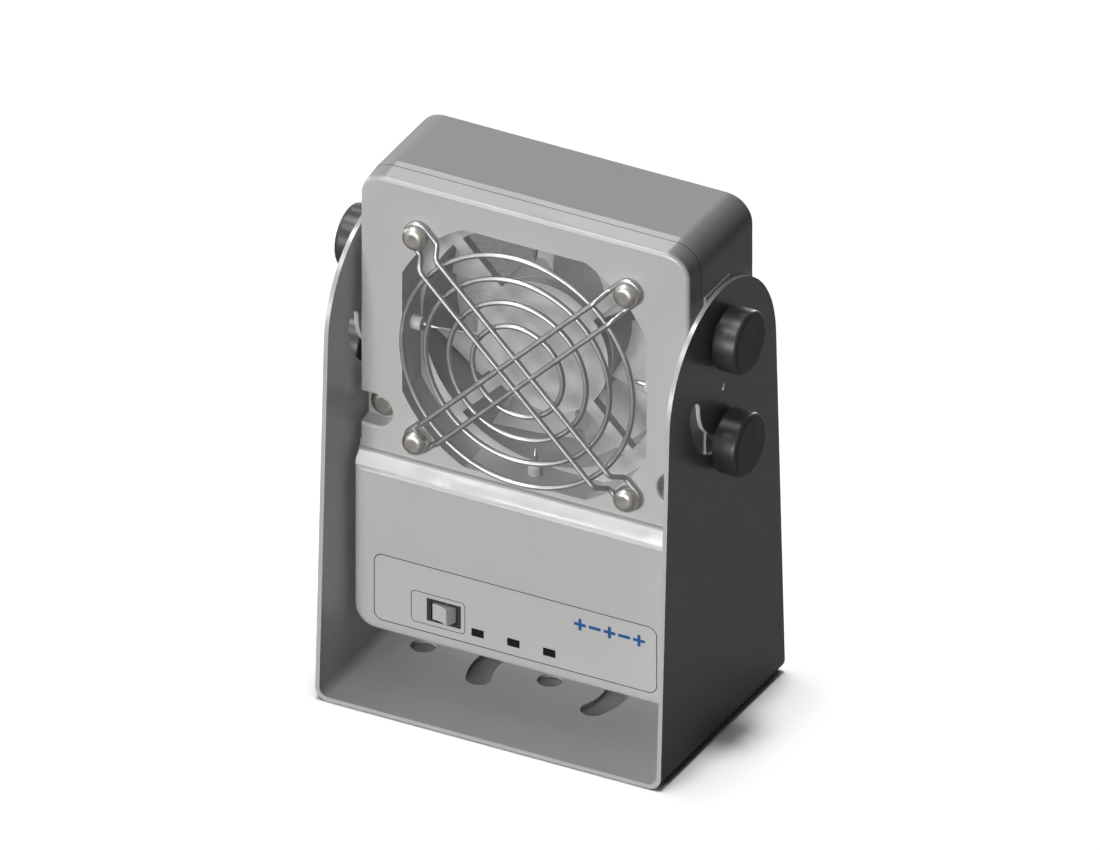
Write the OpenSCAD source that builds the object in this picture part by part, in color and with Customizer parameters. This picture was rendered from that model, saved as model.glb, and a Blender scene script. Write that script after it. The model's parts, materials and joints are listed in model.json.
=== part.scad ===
// Ionizing blower on a tilting bracket. Millimetres, +Z up, the front looks along -Y.
// The origin is the middle of the bracket's underside. The tilt axis is parallel to X, over the origin,
// and the fan's axis crosses it.

/* [Blower housing] */
// Width of the rear housing
body_w = 79; // [76:0.5:90]
// Height of the housing
body_h = 110; // [106:1:130]
// Tilt axis to the rear face
back_depth = 16.5; // [16:0.5:30]
// Tilt axis to the upper front face
upper_front = 11.5; // [10.5:0.5:16]
// How far the lower front face stands in front of the upper one
lower_proud = 4; // [2:0.5:8]
// Fan frame down to the edge of the step between the two front faces
step_gap = 3.2; // [2.5:0.1:6]
// Slope of that step below level
step_slope = 30; // [15:1:45]
// Fillet along both edges of the step
step_r = 1; // [0.5:0.1:1.5]
// Fan frame to the housing's top wall
fan_top_gap = 5; // [4:0.5:10]
// Wall of both housing halves
wall_t = 2; // [1.5:0.1:2.4]
// Corner radius, seen from the front
corner_r = 6; // [5:0.5:9]
// Fillet round the upper front face
upper_edge_r = 1; // [0.5:0.1:1.6]
// Fillet round the lower front face
lower_edge_r = 2; // [1:0.1:2.6]
// Draft of the sides towards the front
draft_deg = 5; // [2:0.5:7]
// Tilt axis to the place where the draft starts
draft_front = 4.8; // [4.6:0.1:5.6]
// Tilt axis to the parting plane between cover and housing
parting_front = 6.65; // [6.2:0.05:7.2]
// Height of the pads that bear on the bracket's arms
pad_t = 0.4; // [0.2:0.1:0.45]
// Half the front-to-back width of a pad
pad_half = 5.5; // [4.5:0.5:8]
// Half the length of a pad
pad_reach = 24.4; // [20:0.2:28]

/* [Bracket] */
// Sheet thickness
sheet_t = 1; // [0.8:0.1:2]
// Gap between the housing's side and an arm
arm_gap = 0.5; // [0.5:0.1:2]
// Gap between the base and the housing's underside
under_gap = 10.2; // [6:0.2:40]
// Base, front to back
base_depth = 56; // [52:1:90]
// Radius of the arms' round tops
arm_top_r = 24; // [21:0.5:26]
// Inside radius of the bends
bend_r = 2; // [1:0.5:4]
// Radius of the three round holes in the base
base_hole_r = 2.75; // [2:0.05:3.5]
// Spacing of those holes
base_hole_pitch = 30; // [26:1:32]
// Radius of the arc slots' middle line, round the centre hole
base_slot_r = 15; // [14:0.5:18]
// Width of the arc slots
base_slot_w = 5.5; // [4:0.1:6]
// Half the angle that an arc slot covers
base_slot_half = 25; // [10:1:40]
// How far the blower tilts back, in degrees
tilt_max = 90; // [30:5:90]
// Width of the curved tilt slots in the arms
tilt_slot_w = 4.4; // [4.2:0.1:5]

/* [Knobs] */
// Tilt axis to a knob's axis
knob_offset = 12.5; // [11:0.5:15]
// Radius of a knob
knob_r = 7.1; // [6:0.1:9]
// Length of a knob
knob_len = 5.8; // [4.5:0.1:9]
// Fillet round a knob's end
knob_edge_r = 1; // [0.4:0.1:2]
// Radius of a knob's stud
stud_r = 1.98; // [1.5:0.02:1.98]
// Thickness of the washer behind a knob
washer_t = 0.9; // [0.5:0.1:1.5]
// Outer radius of that washer
washer_r = 5; // [4:0.1:6]
// Outer radius of the threaded inserts
insert_r = 3; // [2.7:0.1:3.2]
// Threaded inserts to the fan frame's sides
insert_gap = 1.9; // [1:0.1:3]
// Radius of the pip that the blower turns on
pip_r = 0.85; // [0.6:0.05:1.2]
// Depth of the pip's end below the arm's outer face
pip_sink = 0.35; // [0.1:0.05:0.6]

/* [Outlet and finger guard] */
// Outlet's round edge in from the fan screws' axes
outlet_screw_in = 2.95; // [2.8:0.05:4]
// Outlet's four flats in from the fan frame's sides
outlet_side_in = 1; // [0.6:0.1:1.6]
// Wall of the outlet duct
duct_wall = 1.6; // [1:0.1:1.8]
// Wire of the finger guard
wire_d = 1.2; // [1:0.1:1.6]
// Radius of the smallest guard ring
guard_ring_r = 10.7; // [8:0.1:11]
// Largest guard ring in from the bends of the arms
guard_ring_in = 1.9; // [1.2:0.1:3]
// Number of guard rings
guard_ring_count = 4; // [2:1:4]
// Spacing of the two wires of a guard arm
guard_pair = 5.4; // [4.8:0.1:6]
// How far the arms stand in front of the loops under the screws
guard_stand = 3.7; // [2.6:0.1:5]
// Length of the slanting stretch of an arm, seen from the front
guard_joggle = 2.2; // [1.5:0.1:3]
// Screw centre to the end of that stretch
guard_foot = 3.86; // [3.4:0.02:5]

/* [Fan] */
// Outer size of the square fan frame
fan_size = 60; // [58:0.5:60]
// Thickness of the fan
fan_t = 15; // [14:0.5:15.5]
// Tilt axis to the fan frame's front
fan_front = 3.2; // [3:0.1:3.4]
// Fan screws' axes in from the frame's sides
fan_screw_in = 5; // [4.8:0.1:5.5]
// Radius of the screw holes in the fan frame
fan_hole_r = 2.15; // [1.8:0.05:2.3]
// Corner radius of the fan frame
fan_corner_r = 3.5; // [2:0.5:4]
// Thinnest wall of the fan frame, beside its air passage
fan_rim = 1.5; // [1.2:0.1:2.5]
// Thickness of the fan frame's two flanges
fan_flange = 3; // [2:0.5:4]
// Gap between blade tips and frame
tip_gap = 0.7; // [0.5:0.1:1.5]
// Radius of the rotor's hub
hub_r = 15.5; // [14.8:0.1:17]
// Number of blades
blade_count = 7; // [5:1:9]
// Blade thickness
blade_t = 1; // [0.7:0.1:1.4]
// Rotor shaft radius
shaft_r = 1; // [0.8:0.1:1.4]

/* [Screws] */
// Shank radius of the long fan screws and the cover screws
screw_r = 1.5; // [1.2:0.05:1.6]
// Head radius of the fan screws
head_r = 2.85; // [2.6:0.05:3.1]
// Head height of the fan screws
head_h = 2.2; // [1.6:0.1:2.6]
// Rounding of the fan screws' heads
head_round_r = 1.48; // [0.8:0.02:1.56]
// Head radius of the cover screws
cover_head_r = 3.3; // [2.8:0.05:3.4]
// Head height of the cover screws
cover_head_h = 1.9; // [1.8:0.1:2.4]
// Rounding of the cover screws' heads
cover_round_r = 1.7; // [0.8:0.1:1.7]
// Radius of the notches round the cover screws
notch_r = 3.8; // [3.6:0.05:4.2]
// Rounding of the notches' rims
notch_edge_r = 0.6; // [0.2:0.1:0.8]
// Cover screws below the tilt axis
cover_screw_drop = 21; // [20:0.5:24]
// Cover screws in from the housing's side
cover_screw_inset = 4.3; // [4.2:0.1:4.8]

/* [Operating panel] */
// Width of the inlaid panel
panel_w = 67; // [60:0.5:70]
// Height of the inlaid panel
panel_h = 16; // [14:0.5:20]
// Corner radius of the inlaid panel
panel_r = 2; // [1:0.5:3]
// Thickness of the inlaid panel
panel_t = 0.5; // [0.3:0.1:0.8]
// Underside of the housing to the panel's lower edge
panel_up = 3.9; // [3:0.1:8]
// Width of the plate round the switch
bezel_w = 12.7; // [11:0.1:14]
// Height of the plate round the switch
bezel_h = 7.5; // [6.8:0.1:8]
// Corner radius of that plate
bezel_r = 1; // [0.5:0.1:2]
// Middle of that plate, left of the panel's middle
bezel_left = 18.35; // [17:0.05:20]
// Middle of that plate above the panel's lower edge
bezel_lift = 5.65; // [5:0.05:6.5]
// Middle of the switch, right of the plate's middle
switch_right = 1.35; // [0:0.05:1.6]
// Width of the switch's black frame
switch_w = 8; // [7.4:0.1:8.4]
// Height of the switch's black frame
switch_h = 5.4; // [5.2:0.1:5.8]
// Width of the rocker
rocker_w = 5.3; // [4.6:0.1:5.6]
// Height of the rocker
rocker_h = 3.8; // [3.2:0.1:4]
// Tilt of the rocker either side of level
rocker_tilt = 16; // [8:1:18]
// Width of an indicator window
window_w = 2.85; // [2:0.05:4]
// Height of an indicator window
window_h = 1.8; // [1.2:0.1:2.4]
// Spacing of the indicator windows
window_pitch = 8.5; // [6:0.5:9]
// Left window, right of the switch plate's middle
window_right = 9.35; // [8.6:0.05:12]
// Windows above the panel's lower edge
window_lift = 3.05; // [2:0.05:5]

/* [Inside] */
// Thickness of the control board
board_t = 1.6; // [1:0.1:2]
// Control board to the housing's side walls
board_side_gap = 3.5; // [2:0.1:8]
// Control board to the lowest needle holder
board_top_gap = 4.4; // [2:0.2:10]
// Depth of the space between lower cover wall and control board
board_space = 4.6; // [4:0.1:6]
// Width of the high-voltage module
hv_w = 38; // [24:1:40]
// High-voltage module to the fan frame
hv_top_gap = 9; // [2:0.5:14]
// Depth of the high-voltage module
hv_d = 13; // [8:0.5:14]
// Fan frame to the needles' axes
needle_ahead = 3.35; // [2.6:0.05:4]
// Radius of an emitter needle
needle_r = 0.5; // [0.3:0.1:0.7]
// Free length of an emitter needle, tip included
needle_len = 4; // [2:0.5:6]
// Radius of a needle holder
holder_r = 1.6; // [1.2:0.1:2]
// Middle of the power inlet in from the housing's side
inlet_side = 17.4; // [12:0.1:20]
// Width of the power inlet
inlet_w = 12; // [10:0.5:14]
// Height of the power inlet
inlet_h = 11; // [9:0.5:12]
// Depth of the power inlet
inlet_d = 12; // [8:0.5:14]
// Radius of the power inlet's socket
inlet_r = 3.1; // [2.5:0.1:3.5]

/* [Hidden] */
$fn = 48;

// Height of the collar behind a needle holder
holder_collar = 1.2;

// Clearances
slip = 0.05;        // between pieces that are laid or pushed into each other
screw_gap = 0.2;    // round a screw in a clearance hole
hole_spare = 1;     // between a screw's end and the bottom of its hole
cut = 1;            // how far a cutting shape runs past the face it cuts

// Heights
fan_half = fan_size / 2;
z_low = sheet_t + under_gap;
z_high = z_low + body_h;
z_mid = (z_low + z_high) / 2;
z_tilt = z_high - wall_t - fan_top_gap - fan_half;
z_step = z_tilt - fan_half - step_gap;
z_panel = z_low + panel_up;
z_bezel = z_panel + bezel_lift;
z_window = z_panel + window_lift;
z_cover_screw = z_tilt - cover_screw_drop;

// Widths
half_w = body_w / 2;
half_h = body_h / 2;
arm_in = half_w + arm_gap;
arm_out = arm_in + sheet_t;
pad_x = half_w + pad_t;
cover_screw_x = half_w - cover_screw_inset;
fan_screw_x = fan_half - fan_screw_in;
screw_far = fan_screw_x * sqrt(2);
fan_bore_r = fan_half - fan_rim;
outlet_r = screw_far - outlet_screw_in;
outlet_flat = fan_half - outlet_side_in;
x_insert = fan_half + insert_gap;
x_inlet = half_w - inlet_side;
board_w = body_w - 2 * (wall_t + board_side_gap);
panel_half = panel_w / 2;
bezel_x = -bezel_left;
switch_x = bezel_x + switch_right;

// Depths, front to back
y_lower = -(upper_front + lower_proud);
y_upper = -upper_front;
y_parting = -parting_front;
y_draft = -draft_front;
y_fan = -fan_front;
y_fan_back = y_fan + fan_t;
y_back = back_depth;
y_back_in = y_back - wall_t;
y_lower_in = y_lower + wall_t;
y_upper_in = y_upper + wall_t;
y_panel = y_lower + panel_t;
y_board = y_lower_in + board_space;
y_board_back = y_board + board_t;
ledge_t = 2;
ledge_lap = 0.25;
y_ledge = y_parting - ledge_lap;
y_ledge_back = y_ledge + ledge_t;
y_needle = y_fan - needle_ahead;

// A rim's distance in from its rear edge, at a depth y
function drafted(y) = corner_r - max(0, y_draft - y) * tan(draft_deg);

// ---------- helpers ----------

function unit(v) = v / norm(v);
function before(p, i) = unit(p[(i + len(p) - 1) % len(p)] - p[i]);
function after(p, i) = unit(p[(i + 1) % len(p)] - p[i]);
function half_angle(p, i) = acos(before(p, i) * after(p, i)) / 2;
function is_outside(p, i) = cross(after(p, i), before(p, i)) > 0;
function fillet_centre(p, i, r) = p[i] + unit(before(p, i) + after(p, i)) * r / sin(half_angle(p, i));
function trimmed(p, i, r) = let (t = r / tan(half_angle(p, i)))
    r == 0 ? [p[i]] : [p[i] + t * before(p, i), p[i] + t * after(p, i)];

// The round corner itself: the part of its circle between the two tangent points
module corner_pie(p, i, r) {
    centre = fillet_centre(p, i, r);
    ends = trimmed(p, i, r);
    intersection() {
        polygon([centre, ends[0], p[i], ends[1]]);
        translate(centre) circle(r);
    }
}

// A polygon, counter-clockwise, with a true arc of its own radius at each corner
module rounded_outline(points, radii) {
    corners = [0 : len(points) - 1];
    difference() {
        union() {
            polygon([for (i = corners) each trimmed(points, i, radii[i])]);
            for (i = corners)
                if (radii[i] > 0 && is_outside(points, i))
                    corner_pie(points, i, radii[i]);
        }
        for (i = corners)
            if (radii[i] > 0 && !is_outside(points, i))
                translate(fillet_centre(points, i, radii[i])) circle(radii[i]);
    }
}

// A rectangle about the origin with round corners
module rounded_rect(w, h, r) {
    x = w / 2;
    y = h / 2;
    rounded_outline([[-x, -y], [x, -y], [x, y], [-x, y]], [r, r, r, r]);
}

// An outline drawn as seen from the front (X to the right, Z up), from depth y0 back to y1
module from_front(y0, y1) {
    translate([0, y1, 0]) rotate([90, 0, 0]) linear_extrude(y1 - y0) children();
}

// An outline drawn in Y and Z, from x0 to x1
module from_side(x0, x1) {
    translate([x0, 0, 0]) rotate([90, 0, 90]) linear_extrude(x1 - x0) children();
}

// A round rod along Y
module rod_y(x, z, r, y0, y1) {
    translate([x, y0, z]) rotate([-90, 0, 0]) cylinder(h = y1 - y0, r = r);
}

// A round rod along X
module rod_x(y, z, r, x0, x1) {
    translate([x0, y, z]) rotate([0, 90, 0]) cylinder(h = x1 - x0, r = r);
}

// A turned shape whose axis runs along X from the tilt axis outwards: the outline's x is the radius
module turned_x(y, z) {
    translate([0, y, z]) rotate([0, 90, 0]) rotate_extrude() children();
}

// A turned shape whose axis runs along Y
module turned_y(x, z) {
    translate([x, 0, z]) rotate([-90, 0, 0]) rotate_extrude() children();
}

// A box given by its corners
module block(low, high) {
    translate(low) cube(high - low);
}

// An arc slot about the Z axis, cut through a sheet that lies from z = 0 to t
module arc_slot(r, w, a0, a1, t) {
    rotate([0, 0, a0]) rotate_extrude(angle = a1 - a0) translate([r - w / 2, 0]) square([w, t]);
    for (a = [a0, a1]) rotate([0, 0, a]) translate([r, 0, 0]) cylinder(h = t, r = w / 2);
}

// A rounded slab about the Y axis. The rim's section is the child: its x is the distance out from a
// corner's axis and its y is the depth. The middle is filled from y0 to y1.
module rimmed_slab(x_half, z_half, r, y0, y1) {
    x = x_half - r;
    z = z_half - r;
    for (mx = [0, 1], mz = [0, 1])
        mirror([mx, 0, 0]) mirror([0, 0, mz])
            translate([x, 0, -z]) rotate([-90, 0, 0]) rotate_extrude(angle = 90) children();
    for (mz = [0, 1])
        mirror([0, 0, mz]) translate([-x, 0, -z]) rotate([0, 90, 0]) linear_extrude(2 * x) children();
    for (mx = [0, 1])
        mirror([mx, 0, 0]) translate([x, 0, -z]) linear_extrude(2 * z) children();
    block([-x, y0, -z], [x, y1, z]);
}

// The four places round the fan's axis where its screws sit
module at_fan_screws() {
    for (sx = [-1, 1], sz = [-1, 1])
        translate([sx * fan_screw_x, 0, z_tilt + sz * fan_screw_x]) children();
}

// ---------- bracket ----------

// Angle at which a slanting edge of an arm runs into its round top
arm_lean = acos(arm_top_r / norm([base_depth / 2, z_tilt])) - atan2(z_tilt, base_depth / 2);

module arm_outline() {
    tangent = [arm_top_r * cos(arm_lean), z_tilt + arm_top_r * sin(arm_lean)];
    polygon([
        [-base_depth / 2, -cut],
        [base_depth / 2, -cut],
        [base_depth / 2, 0],
        tangent,
        [-tangent[0], tangent[1]],
        [-base_depth / 2, 0]
    ]);
    translate([0, z_tilt]) circle(arm_top_r, $fn = 96);
}

module bent_sheet() {
    top = z_tilt + arm_top_r + cut;
    outer = bend_r + sheet_t;
    translate([0, base_depth / 2, 0]) rotate([90, 0, 0]) linear_extrude(base_depth) difference() {
        rounded_outline(
            [[-arm_out, 0], [arm_out, 0], [arm_out, top], [-arm_out, top]],
            [outer, outer, 0, 0]);
        rounded_outline(
            [[-arm_in, sheet_t], [arm_in, sheet_t], [arm_in, top + cut], [-arm_in, top + cut]],
            [bend_r, bend_r, 0, 0]);
    }
}

// Both curved tilt slots of both arms: a stud runs in each as the blower tilts
module tilt_slots() {
    for (turn = [0, 180])
        translate([-arm_out - cut, 0, z_tilt]) rotate([turn, 0, 0]) rotate([90, 0, 90])
            arc_slot(knob_offset, tilt_slot_w, -90 - tilt_max, -90, 2 * (arm_out + cut));
}

module bracket() {
    color([0.73, 0.73, 0.73]) difference() {
        intersection() {
            bent_sheet();
            from_side(-arm_out - cut, arm_out + cut) arm_outline();
        }
        for (i = [-1, 0, 1])
            translate([i * base_hole_pitch, 0, -cut]) cylinder(h = sheet_t + 2 * cut, r = base_hole_r);
        for (a = [0, 180])
            translate([0, 0, -cut])
                arc_slot(base_slot_r, base_slot_w, a - base_slot_half, a + base_slot_half, sheet_t + 2 * cut);
        tilt_slots();
        rod_x(0, z_tilt, pip_r + slip, -arm_out - cut, arm_out + cut);
    }
}

// ---------- front cover ----------

// Section of the cover's rim, with its front face at depth y and an edge fillet r
module cover_rim(y, r) {
    rounded_outline(
        [[0, y_parting], [0, y], [drafted(y), y], [drafted(y_parting), y_parting]],
        [0, 0, r, 0]);
}

// The side view of all that lies behind the lower face and under the step, moved in by a wall
module under_step(inset) {
    rise = (lower_proud + wall_t) * tan(step_slope);
    drop = inset / cos(step_slope);
    y_face = y_lower + inset;
    low = z_low - cut;
    corner = z_step - drop + inset * tan(step_slope);
    rounded_outline(
        [
            [y_face, low],
            [y_parting + cut, low],
            [y_parting + cut, corner + rise],
            [y_face + rise / tan(step_slope), corner + rise],
            [y_face, corner]
        ],
        [0, 0, 0, 0, step_r]);
}

// The side view of the small concave fillet where the step runs into the upper face
module step_root() {
    z_root = z_step + lower_proud * tan(step_slope);
    run = step_r * 2;
    rounded_outline(
        [
            [y_upper + wall_t / 2, z_root - run],
            [y_upper - run * cos(step_slope), z_root - run],
            [y_upper - run * cos(step_slope), z_root - run * sin(step_slope)],
            [y_upper, z_root],
            [y_upper, z_root + run],
            [y_upper + wall_t / 2, z_root + run]
        ],
        [0, 0, 0, step_r, 0, 0]);
}

module cover_shell() {
    difference() {
        union() {
            translate([0, 0, z_mid])
                rimmed_slab(half_w, half_h, corner_r, y_upper, y_parting) cover_rim(y_upper, upper_edge_r);
            intersection() {
                translate([0, 0, z_mid])
                    rimmed_slab(half_w, half_h, corner_r, y_lower, y_parting)
                        cover_rim(y_lower, lower_edge_r);
                from_side(-half_w - cut, half_w + cut) {
                    under_step(0);
                    step_root();
                }
            }
        }
        translate([0, 0, z_mid]) from_front(y_upper_in, y_parting + cut)
            rounded_rect(body_w - 2 * wall_t, body_h - 2 * wall_t, corner_r - wall_t);
        intersection() {
            translate([0, 0, z_mid]) from_front(y_lower_in, y_parting + cut)
                rounded_rect(body_w - 2 * wall_t, body_h - 2 * wall_t, corner_r - wall_t);
            from_side(-half_w, half_w) under_step(wall_t);
        }
    }
}

module outlet_outline(grow) {
    intersection() {
        circle(outlet_r + grow, $fn = 96);
        square(2 * (outlet_flat + grow), center = true);
    }
}

// The tongue inside the rim that centres the cover in the rear housing
tongue_t = 1.2;
tongue_len = 1.6;
module cover_tongue() {
    w = body_w - 2 * wall_t - 2 * slip;
    h = body_h - 2 * wall_t - 2 * slip;
    r = corner_r - wall_t - slip;
    translate([0, 0, z_mid]) from_front(y_parting - wall_t, y_parting + tongue_len) difference() {
        rounded_rect(w, h, r);
        rounded_rect(w - 2 * tongue_t, h - 2 * tongue_t, r - tongue_t);
    }
}

// The open-sided pocket round a cover screw, with a rounded mouth
module screw_notch() {
    reach = cover_screw_inset + cut;
    module section() {
        rounded_outline(
            [
                [0, y_ledge],
                [0, y_upper - cut],
                [notch_r + notch_edge_r + cut, y_upper - cut],
                [notch_r + notch_edge_r + cut, y_upper],
                [notch_r, y_upper],
                [notch_r, y_ledge]
            ],
            [0, 0, 0, 0, notch_edge_r, 0]);
    }
    translate([cover_screw_x, 0, z_cover_screw]) {
        rotate([-90, 0, 0]) rotate_extrude() section();
        for (mz = [0, 1])
            mirror([0, 0, mz]) rotate([0, 90, 0]) linear_extrude(reach) section();
    }
}

board_post_r = 2.6;
board_screw_r = 1.1;
board_post_x = board_w / 2 - board_post_r;
board_floor_gap = 1.8;
z_board = z_low + wall_t + board_floor_gap;
z_board_top = z_tilt - outlet_flat - duct_wall - holder_collar - board_top_gap;
module at_board_posts() {
    for (sx = [-1, 1], z = [z_board + board_post_r, z_board_top - board_post_r])
        translate([sx * board_post_x, 0, z]) children();
}

module window_row(grow, y0, y1) {
    for (i = [0, 1, 2])
        translate([bezel_x + window_right + i * window_pitch, 0, z_window])
            block([-window_w / 2 - grow, y0, -window_h / 2 - grow],
                [window_w / 2 + grow, y1, window_h / 2 + grow]);
}

module switch_cut(grow, y0, y1) {
    translate([switch_x, 0, z_bezel])
        block([-switch_w / 2 - grow, y0, -switch_h / 2 - grow], [switch_w / 2 + grow, y1, switch_h / 2 + grow]);
}

post_r = 3.4;
module front_cover() {
    color([0.73, 0.73, 0.73]) difference() {
        union() {
            difference() {
                union() {
                    cover_shell();
                    cover_tongue();
                    translate([0, 0, z_tilt]) from_front(y_upper_in - wall_t / 2, y_fan)
                        outlet_outline(duct_wall);
                    at_fan_screws() rod_y(0, 0, post_r, y_upper_in - wall_t / 2, y_fan);
                    for (mx = [0, 1]) mirror([mx, 0, 0]) intersection() {
                        rod_y(cover_screw_x, z_cover_screw, notch_r + wall_t, y_upper_in - cut, y_ledge_back);
                        translate([0, 0, z_mid]) from_front(y_upper_in - cut, y_ledge_back)
                            rounded_rect(body_w - 2 * wall_t - 2 * slip, body_h, corner_r);
                    }
                }
                for (mx = [0, 1]) mirror([mx, 0, 0]) screw_notch();
            }
            at_board_posts() rod_y(0, 0, board_post_r, y_lower_in - wall_t / 2, y_board);
        }
        translate([0, 0, z_tilt]) from_front(y_upper - cut, y_fan + cut) outlet_outline(0);
        at_fan_screws() rod_y(0, 0, screw_r + screw_gap, y_upper - cut, y_fan + cut);
        for (sx = [-1, 1])
            rod_y(sx * cover_screw_x, z_cover_screw, screw_r + screw_gap, y_ledge - cut, y_ledge_back + cut);
        at_board_posts() rod_y(0, 0, board_screw_r + slip, y_lower_in, y_board + cut);
        translate([0, 0, z_panel + panel_h / 2]) from_front(y_lower - cut, y_panel)
            rounded_rect(panel_w + 2 * slip, panel_h + 2 * slip, panel_r + slip);
        window_row(slip, y_lower - cut, y_lower_in + cut);
        switch_cut(slip, y_lower - cut, y_lower_in + cut);
        for (a = [0 : 90 : 270])
            translate([0, y_needle, z_tilt]) rotate([0, a, 0])
                rod_x(0, 0, holder_r + slip, outlet_flat - cut, outlet_flat + duct_wall + cut);
    }
}

// ---------- rear housing ----------

intake_in = 0.4;
intake_r = fan_half - intake_in;
back_edge_r = 0.5;
insert_wall = 1.1;
cover_post_r = 3.2;
cover_screw_bite = 11;
module housing_rim() {
    rounded_outline(
        [
            [0, y_back],
            [0, y_parting],
            [drafted(y_parting), y_parting],
            [corner_r, y_draft],
            [corner_r, y_back]
        ],
        [0, 0, 0, 0, back_edge_r]);
}

// Where the four studs enter the housing's sides: x is along the side's outward normal
module at_studs() {
    for (mx = [0, 1], sz = [-1, 1])
        mirror([mx, 0, 0]) translate([0, 0, z_tilt + sz * knob_offset]) children();
}

module rear_housing() {
    color([0.73, 0.73, 0.73]) difference() {
        union() {
            difference() {
                translate([0, 0, z_mid])
                    rimmed_slab(half_w, half_h, corner_r, y_parting, y_back) housing_rim();
                translate([0, 0, z_mid]) from_front(y_parting - cut, y_back_in)
                    rounded_rect(body_w - 2 * wall_t, body_h - 2 * wall_t, corner_r - wall_t);
            }
            for (mx = [0, 1]) mirror([mx, 0, 0]) {
                translate([half_w - wall_t / 2, -pad_half, z_tilt - pad_reach])
                    cube([pad_t + wall_t / 2, 2 * pad_half, 2 * pad_reach]);
                rod_x(0, z_tilt, pip_r, half_w, arm_out - pip_sink);
                intersection() {
                    rod_y(cover_screw_x, z_cover_screw, cover_post_r, y_ledge_back, y_back_in + wall_t / 2);
                    block([0, y_ledge_back, z_low], [half_w - wall_t / 2, y_back, z_high]);
                }
            }
            at_studs() rod_x(0, 0, insert_r + insert_wall, x_insert, half_w - wall_t / 2);
            at_fan_screws() rod_y(0, 0, post_r, y_fan_back, y_back_in + wall_t / 2);
        }
        at_studs() rod_x(0, 0, insert_r, x_insert - cut, half_w);
        at_studs() rod_x(0, 0, tilt_slot_w / 2, half_w - cut, pad_x + cut);
        at_fan_screws() rod_y(0, 0, screw_r + slip, y_fan_back - cut, y_back - wall_t / 2);
        for (sx = [-1, 1])
            rod_y(sx * cover_screw_x, z_cover_screw, screw_r + slip, y_ledge_back - cut,
                y_ledge_back + cover_screw_bite + hole_spare);
        rod_y(0, z_tilt, intake_r, y_back_in - cut, y_back + cut);
        inlet_box(slip, y_back_in - cut, y_back + cut);
    }
}

// Moulded intake grille: rings on six spokes
grille_ring_count = 7;
module intake_grille() {
    rim = 2;
    bar = 1.6;
    centre_r = 4;
    step = (intake_r - rim - centre_r) / grille_ring_count;
    color([0.66, 0.66, 0.66]) difference() {
        rod_y(0, z_tilt, intake_r - slip, y_back_in, y_back);
        difference() {
            for (i = [0 : grille_ring_count - 1]) difference() {
                rod_y(0, z_tilt, centre_r + (i + 1) * step, y_back_in - cut, y_back + cut);
                rod_y(0, z_tilt, centre_r + i * step + bar, y_back_in - 2 * cut, y_back + 2 * cut);
            }
            for (a = [0 : 60 : 120])
                translate([0, 0, z_tilt]) rotate([0, a, 0])
                    block([-fan_half, y_back_in - 3 * cut, -bar / 2], [fan_half, y_back + 3 * cut, bar / 2]);
        }
    }
}

// ---------- finger guard and screws ----------

wire_r = wire_d / 2;
y_loop = y_upper - wire_r;
y_arm = y_loop - guard_stand;
weld_gap = 0.02;
y_ring = y_arm + wire_d + weld_gap;
guard_ring_far = screw_far - guard_foot - guard_joggle - guard_ring_in;
guard_ring_step = (guard_ring_far - guard_ring_r) / (guard_ring_count - 1);

// Side view of one end of an arm: the stretch that slants down from the front plane to the loop
wire_bend_r = 1.6;
bend_steps = 3;
arm_corners = let (foot = screw_far - guard_foot)
    [[0, y_arm], [foot - guard_joggle, y_arm], [foot, y_loop], [screw_far, y_loop]];
arm_bends = [for (i = [1, 2], k = [0 : bend_steps]) let (
    middle = fillet_centre(arm_corners, i, wire_bend_r),
    ends = trimmed(arm_corners, i, wire_bend_r))
    middle + wire_bend_r * unit(ends[0] - middle + (ends[1] - ends[0]) * k / bend_steps)];

// Middle line of one whole arm: a closed loop that runs from screw to screw and round both
loop_steps = 10;
function quarter(sx, sz) = [for (q = arm_bends) [sx * q[0], q[1], sz * guard_pair / 2]];
function turned_back(list) = [for (i = [len(list) - 1 : -1 : 0]) list[i]];
function round_screw(sx) = [for (k = [0 : loop_steps]) let (a = 90 - 180 * k / loop_steps)
    [sx * (screw_far + guard_pair / 2 * cos(a)), y_loop, sx * guard_pair / 2 * sin(a)]];
arm_path = concat(
    quarter(1, 1), round_screw(1), turned_back(quarter(1, -1)),
    quarter(-1, -1), round_screw(-1), turned_back(quarter(-1, 1)));

// A closed wire that follows a path: one ring of points square to it at each of its points
module closed_wire(path, r, sides) {
    n = len(path);
    rings = [for (i = [0 : n - 1]) let (
        along = unit(path[(i + 1) % n] - path[(i + n - 1) % n]),
        across = unit(cross(along, [0, 1, 0])),
        out = cross(across, along))
        each [for (k = [0 : sides - 1]) let (a = 360 * k / sides)
            path[i] + r * (cos(a) * across + sin(a) * out)]];
    skin = [for (i = [0 : n - 1], k = [0 : sides - 1]) let (
        a = i * sides + k,
        b = i * sides + (k + 1) % sides,
        c = ((i + 1) % n) * sides + (k + 1) % sides,
        d = ((i + 1) % n) * sides + k)
        each [[a, b, c], [a, c, d]]];
    polyhedron(rings, skin);
}

module guard_arms() {
    color([0.72, 0.72, 0.74]) translate([0, 0, z_tilt])
        for (a = [45, -45]) rotate([0, a, 0]) closed_wire(arm_path, wire_r, 12);
}

module guard_rings() {
    color([0.72, 0.72, 0.74]) translate([0, y_ring, z_tilt])
        for (i = [0 : guard_ring_count - 1])
            rotate([-90, 0, 0]) rotate_extrude($fn = 96)
                translate([guard_ring_r + i * guard_ring_step, 0]) circle(wire_r, $fn = 24);
}

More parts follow.
